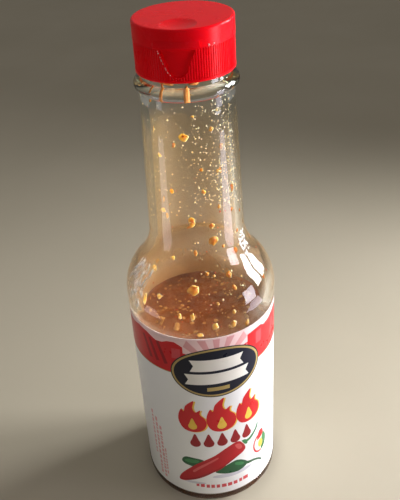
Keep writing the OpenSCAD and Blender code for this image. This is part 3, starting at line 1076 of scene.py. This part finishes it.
def wear_and_highlight_flecks():
    """Pale flecks on the plastic, partly wear and partly painted highlights on lit edges: by the
    seam, along the thumb recess and round the dish.
    """
    rng = random.Random(13)
    cap_heap = Heap()
    lid_heap = Heap()
    cap_r = cap_high.x - 0.12 * MM
    edge = [(-6.2, 10.4), (-5.6, 9.0), (-5.2, 8.0), (-4.7, 6.9), (-4.2, 5.9), (-3.8, 4.9),
            (-3.3, 3.9), (-2.6, 2.9), (-1.7, 2.2)]
    for (x, z), (next_x, next_z) in zip(edge, edge[1:]):
        for _ in range(rng.choice((1, 2, 3, 5))):
            t = rng.random()
            p = cap_point((x + (next_x - x) * t - 0.25 + rng.uniform(-0.1, 0.1)) * MM,
                          CAP_BASE_Z + (z + (next_z - z) * t) * MM, cap_r)
            cap_heap.add(*chunk(p, rng.uniform(0.06, 0.20) * MM, rng, 1.2, 4, 6))
    # Flecks along the lid's lower edge: wear, and painted highlights where the edge catches light.
    for degrees, count in ((-4.0, 7), (27.5, 9), (32.0, 6)):
        for _ in range(count):
            a = from_camera(degrees + rng.uniform(-1.6, 1.6))
            z = LID_BASE_Z + rng.uniform(-0.3, 0.9) * MM
            p = round_point(a, z, lid_high.x - 0.02 * MM)
            lid_heap.add(*chunk(p, rng.uniform(0.10, 0.24) * MM, rng, 0.6, 4, 6))
    # Flecks round the dish's rim: painted highlight along its lit edge, with some wear.
    dish_r = 5.75 * MM
    for start, end, count in ((150, 205, 26), (60, 84, 9)):
        for _ in range(count):
            a = math.radians(rng.uniform(start, end))
            x, y = dish_r * math.cos(a), DISH_Y + dish_r * math.sin(a)
            p = Matrix.Rotation(CAP_TURN, 3, "Z") @ Vector((x, y, LID_TOP_Z - 0.11 * MM))
            lid_heap.add(*chunk(p, rng.uniform(0.07, 0.16) * MM, rng, 0.6, 4, 6))
    cap_heap.piece("wear_and_highlight_on_cap", MAT_WEAR_AND_HIGHLIGHT, slot="cap")
    lid_heap.piece("wear_and_highlight_on_lid", MAT_WEAR_AND_HIGHLIGHT, body="lid", slot="lid")


def hinge_strip():
    """Thin web at the back. It thins to its bending line."""
    thickness = 0.45 * MM
    half = 3.5 * MM
    rows, columns = 20, 10
    out = Vector((-math.sin(CAP_TURN), math.cos(CAP_TURN), 0))
    along = Vector((math.cos(CAP_TURN), math.sin(CAP_TURN), 0))
    vertices = []
    faces = []
    for side in (-1, 1):
        for i in range(rows + 1):
            z = web_low.z + (web_high.z - web_low.z) * i / rows
            thin = 1 - 0.45 * math.exp(-((z - HINGE_POINT.z) / (0.5 * MM)) ** 2)
            for j in range(columns + 1):
                point = (HINGE_POINT + along * half * (2 * j / columns - 1)
                         + out * thickness / 2 * thin * side)
                vertices.append(Vector((point.x, point.y, z)))
    width = columns + 1
    offset = (rows + 1) * width
    for i in range(rows):
        for j in range(columns):
            a = i * width + j
            faces.append((a, a + 1, a + width + 1, a + width))
            faces.append(tuple(offset + k for k in (a, a + width, a + width + 1, a + 1)))
    loop = list(range(width)) + [i * width + columns for i in range(1, rows + 1)]
    loop += [rows * width + j for j in range(columns - 1, -1, -1)]
    loop += [i * width for i in range(rows - 1, 0, -1)]
    for k, a in enumerate(loop):
        b = loop[(k + 1) % len(loop)]
        faces.append((b, a, a + offset, b + offset))
    return vertices, faces


wear_and_highlight_flecks()
vertices, faces = hinge_strip()
strip = new_piece("hinge_strip", vertices, faces, MAT_LID, body=None, smooth=False)
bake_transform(strip)
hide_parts("hinge_web")

# -------------------------------- stage, lights and camera

def floor():
    size = 4.0
    low = -0.1 * MM
    material = plain_finish("floor", (0.43, 0.38, 0.285), (0.47, 0.415, 0.315), 0.6, 6)
    corners = [(-size, -size, low), (size, -size, low), (size, size, low), (-size, size, low)]
    piece = new_piece("floor", corners, [(0, 1, 2, 3)], material, body=None, smooth=False)


def area_light(name, azimuth, distance, height, width, tall, power, colour, spread=180):
    """A soft panel at an azimuth from the camera's side, aimed at the bottle. Spread is its
    beam in degrees."""
    data = bpy.data.lights.new(name, "AREA")
    data.shape = "RECTANGLE"
    data.size = width
    data.size_y = tall
    data.energy = power
    data.spread = math.radians(spread)
    data.color = colour
    lamp = bpy.data.objects.new(name, data)
    bpy.context.scene.collection.objects.link(lamp)
    place = round_point(from_camera(azimuth), height, distance)
    lamp.location = place
    aim = Vector((0, 0, 0.1)) - place
    lamp.rotation_euler = aim.to_track_quat("-Z", "Y").to_euler()
    lamp.visible_camera = False
    lamp.visible_transmission = False
    return lamp


def floor_card(name, azimuth, distance, reach, wide, power, colour):
    """A bright card on the floor beside the bottle. It shows only as a streak in the glass."""
    lamp = area_light(name, azimuth, distance, 3 * MM, wide, reach, power, colour)
    lamp.rotation_euler = (math.pi, 0, from_camera(azimuth))


def world():
    scene_world = bpy.data.worlds.new("studio")
    scene_world.use_nodes = True
    background = scene_world.node_tree.nodes["Background"]
    background.inputs["Color"].default_value = (1.0, 0.965, 0.90, 1)
    background.inputs["Strength"].default_value = 0.225
    bpy.context.scene.world = scene_world


def camera():
    """The photo's view: looking down by 34 degrees, a little from the label's left."""
    pitch, yaw, roll, turn = 0.598686, 0.00292737, -0.0665159, math.radians(CAMERA_TURN)
    reach, height = 0.22511, 0.27310
    forward = Vector((math.sin(yaw) * math.cos(pitch), math.cos(yaw) * math.cos(pitch),
                      -math.sin(pitch)))
    right = forward.cross(Vector((0, 0, 1))).normalized()
    up = right.cross(forward)
    across = right * math.cos(roll) + up * math.sin(roll)
    upward = up * math.cos(roll) - right * math.sin(roll)
    axes = Matrix((across, upward, -forward)).transposed()
    spin = Matrix.Rotation(turn, 3, "Z")
    data = bpy.data.cameras.new("camera")
    data.sensor_width = 36
    data.lens = 49.6
    eye = bpy.data.objects.new("camera", data)
    bpy.context.scene.collection.objects.link(eye)
    place = Matrix.Translation(spin @ Vector((0, -reach, height)))
    eye.matrix_world = place @ (spin @ axes).to_4x4()
    bpy.context.scene.camera = eye


floor()
world()
WINDOW_BEAM = 80
DAYLIGHT = (0.95, 0.97, 1.0)
area_light("window_low", 72, 0.50, 0.11, 0.17, 0.22, 0.32, (0.95, 0.90, 1.0), WINDOW_BEAM)
area_light("window_left_pane", 96, 0.50, 0.27, 0.115, 0.36, 0.82, DAYLIGHT, WINDOW_BEAM)
area_light("window_right_pane", 113, 0.50, 0.27, 0.13, 0.36, 0.76, DAYLIGHT, WINDOW_BEAM)
top_fill = area_light("top_fill", 10, 0.7, 0.9, 0.8, 0.8, 0.9, (1.0, 0.98, 0.95))
top_fill.visible_glossy = False
floor_card("card_right", 78, 0.32, 0.26, 0.11, 0.42, (0.86, 0.80, 1.0))
floor_card("card_left", -74, 0.32, 0.24, 0.11, 0.19, (0.86, 0.87, 1.0))
camera()
bpy.context.scene.view_settings.view_transform = "Standard"
